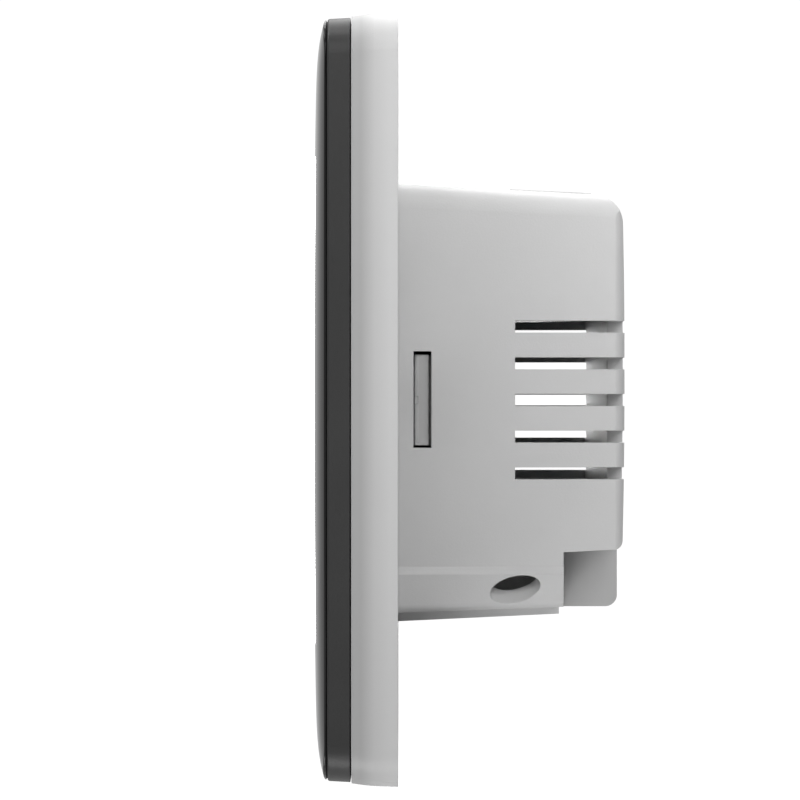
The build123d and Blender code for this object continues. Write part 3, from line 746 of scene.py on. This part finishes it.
def make_reading(bm):
    """A temperature in plain digits, 20.5 and a degree ring, in the middle of the display."""
    low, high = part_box("lcd_glass")
    width, bar, pitch = 7.5 * MM, 1.3 * MM, 11.5 * MM
    point_room, point_side, point_back = 2.0 * MM, 1.2 * MM, 1.0 * MM
    ring_radius, ring_line = 1.2 * MM, 0.5 * MM
    left, foot = -1.5 * pitch, (low.z + high.z) / 2 - width
    for i, number in enumerate((2, 0, 5)):
        room = point_room if i == 2 else 0
        digit(bm, number, (left + i * pitch + room, foot), width, bar)
    point = (left + 2 * pitch - point_back, foot)
    stroke(bm, moved([(-point_side / 2, 0), (point_side / 2, 0)], point), point_side)
    ring = (left + 3 * pitch + ring_radius, foot + 2 * width - ring_radius / 2)
    stroke(bm, arc(ring, ring_radius, 0, 360, 20)[:-1], ring_line, closed=True)


mesh_piece("key_marks", "front_unit", "light_guide", make_key_marks)
mesh_piece("display_reading", "front_unit", "light_guide", make_reading)


# ---------------------------------------------------------------- rating label's ruled table

def make_label_rules(bm):
    low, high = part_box("rating_label")
    margin, thick, proud = 2.5 * MM, 0.25 * MM, 0.02 * MM
    rows, split = 4, 0.4
    x0, x1, z0, z1 = low.x + margin, high.x - margin, low.z + margin, high.z - margin
    across = [((x0 + x1) / 2, z0 + (z1 - z0) * i / rows, x1 - x0 + thick, thick) for i in range(rows + 1)]
    upright = [(x, (z0 + z1) / 2, thick, z1 - z0) for x in (x0, x0 + (x1 - x0) * split, x1)]
    for x, z, width, height in across + upright:
        block(bm, (x, high.y, z), (width, 2 * proud, height), 0.3 * proud)


mesh_piece("label_rules", "base", "black_plastic", make_label_rules)


# ---------------------------------------------------------------- small parts on the boards

def make_joints(bm, places, face_y, out):
    """Solder joints: a dish of solder round each pin, standing out of a board's face."""
    radius, height = 0.75 * MM, 0.7 * MM
    foot = [(radius, -0.03 * MM), (radius, 0.04 * MM)]
    cone = [(0.72, 0.2), (0.45, 0.55), (0.36, 0.9), (0.22, 1.0)]
    profile = foot + [(share * radius, rise * height) for share, rise in cone]
    for at in places:
        turned(bm, at, [(r, face_y + out * h) for r, h in profile], steps=14)


def row(start, step_by, count):
    """Places in a line from a start."""
    return [(start[0] + i * step_by[0], start[1] + i * step_by[1]) for i in range(count)]


def power_joint_places():
    """Pins of what stands on the back of the power board."""
    relay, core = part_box("relay_cover"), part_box("transformer_core")
    cell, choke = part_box("bulk_capacitor"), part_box("choke")
    film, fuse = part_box("filter_capacitor"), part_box("fuse")
    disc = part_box("varistor")
    edge, core_edge, core_pitch, half_pair = 1.6 * MM, 0.8 * MM, 3.6 * MM, 1.8 * MM
    across = (relay[0].x + edge, relay[1].x - edge)
    upward = (relay[0].z + edge, relay[1].z - edge)
    places = [(x, z) for x in across for z in upward]
    for z in (core[0].z + core_edge, core[1].z - core_edge):
        places += row((core[0].x + edge, z), (core_pitch, 0), 4)
    for low, high in (cell, choke, disc):
        middle = (low + high) / 2
        places += [(middle.x - half_pair, middle.z), (middle.x + half_pair, middle.z)]
    for low, high in (film, fuse):
        places += [(low.x + edge, (low.z + high.z) / 2), (high.x - edge, (low.z + high.z) / 2)]
    return places


def terminal_joint_places():
    """One pin under each terminal screw."""
    heads = [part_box(f"terminal_screw_{i}") for i in range(1, 7)]
    return [((low.x + high.x) / 2, (low.z + high.z) / 2) for low, high in heads]


def chips_on(centres):
    """Places and turns of small chips, which lie across and stand upright by turns."""
    return [(at, math.pi / 2 if i % 2 else 0.0) for i, at in enumerate(centres)]


chip_size = (1.9 * MM, 0.55 * MM, 1.1 * MM)
body_share, end_share = 0.62, 0.22


def make_chip_bodies(bm, chips, face_y, out, size):
    length, height, width = size
    for at, turn in chips:
        centre = (at[0], face_y + out * height / 2, at[1])
        block(bm, centre, (body_share * length, height, width), 0.05 * MM, turn)


def make_chip_ends(bm, chips, face_y, out, size):
    """The tinned ends of the small chips, a little larger than their bodies."""
    length, height, width = size
    larger, end_at = 0.03 * MM, 0.4 * length
    for at, turn in chips:
        for side in (-1, 1):
            shift = Matrix.Rotation(turn, 3, "Y") @ Vector((side * end_at, 0, 0))
            centre = Vector((at[0], face_y + out * (height / 2 + 0.01 * MM), at[1])) + shift
            block(bm, centre, (end_share * length, height + larger, width + larger), 0.06 * MM, turn)


def scattered(low, high, pitch, keep_off, clear):
    """Places on a grid in a rectangle, one in four left out, nudged unevenly and clear of the boxes."""
    nudge = 0.18
    places = []
    columns, rows = int((high[0] - low[0]) / pitch), int((high[1] - low[1]) / pitch)
    for i in range(columns):
        for j in range(rows):
            if (3 * i + 5 * j) % 4 == 0:
                continue
            x = low[0] + (i + 0.5 + nudge * math.sin(7 * i + 3 * j)) * pitch
            z = low[1] + (j + 0.5 + nudge * math.cos(5 * i - 2 * j)) * pitch
            near = [a.x - clear < x < b.x + clear and a.z - clear < z < b.z + clear for a, b in keep_off]
            if not any(near):
                places.append((x, z))
    return places


def make_leads(bm, node, face_y, out, per_side, pitch, reach):
    """Bent leads on the four sides of a flat chip, down to the board."""
    low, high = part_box(node)
    middle = (low + high) / 2
    half = (high.x - low.x) / 2
    height = (high.y - low.y) / 2
    width, thick, foot, sunk = 0.3 * MM, 0.14 * MM, 0.1 * MM, 0.1 * MM
    profile = [(-sunk, height), (0.35 * reach, height), (0.55 * reach, foot), (reach, foot)]
    for quarter in range(4):
        turn = Matrix.Rotation(quarter * math.pi / 2, 3, "Y")
        for i in range(per_side):
            across = (i - (per_side - 1) / 2) * pitch

            def section(k):
                along, lift = profile[k]
                corners = [(across - width / 2, thick / 2), (across + width / 2, thick / 2),
                           (across + width / 2, -thick / 2), (across - width / 2, -thick / 2)]
                made = []
                for side, up in corners:
                    flat = turn @ Vector((half + along, 0, side))
                    made.append((middle.x + flat.x, face_y + out * (lift + up), middle.z + flat.z))
                return made

            ribbon(bm, len(profile), section)


power_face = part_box("power_board")[0].y
display_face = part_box("display_board")[1].y
power_parts = [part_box(name) for name in ("socket_header", "board_screws")]
display_parts = [
    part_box(name) for name in ("buzzer", "backup_cell", "control_chip", "radio_module", "pin_header")
]
power_grid = scattered((-18 * MM, -16 * MM), (18 * MM, 16 * MM), 5.2 * MM, power_parts, 1.4 * MM)
display_grid = scattered((-33 * MM, -30 * MM), (33 * MM, 33 * MM), 5.5 * MM, display_parts, 2.4 * MM)
power_chips_at, display_chips_at = chips_on(power_grid[::2]), chips_on(display_grid)

mesh_piece("power_joints", "base", "screw_steel",
           lambda bm: make_joints(bm, power_joint_places() + terminal_joint_places(), power_face, -1))
mesh_piece("power_small_chips", "base", "black_plastic",
           lambda bm: make_chip_bodies(bm, power_chips_at, power_face, -1, chip_size))
mesh_piece("power_small_chip_ends", "base", "screw_steel",
           lambda bm: make_chip_ends(bm, power_chips_at, power_face, -1, chip_size))
mesh_piece("display_small_chips", "front_unit", "black_plastic",
           lambda bm: make_chip_bodies(bm, display_chips_at, display_face, 1, chip_size))
mesh_piece("display_small_chip_ends", "front_unit", "screw_steel",
           lambda bm: make_chip_ends(bm, display_chips_at, display_face, 1, chip_size))
mesh_piece("control_chip_leads", "front_unit", "terminal_metal",
           lambda bm: make_leads(bm, "control_chip", display_face, 1, 12, 0.7 * MM, 1.1 * MM))
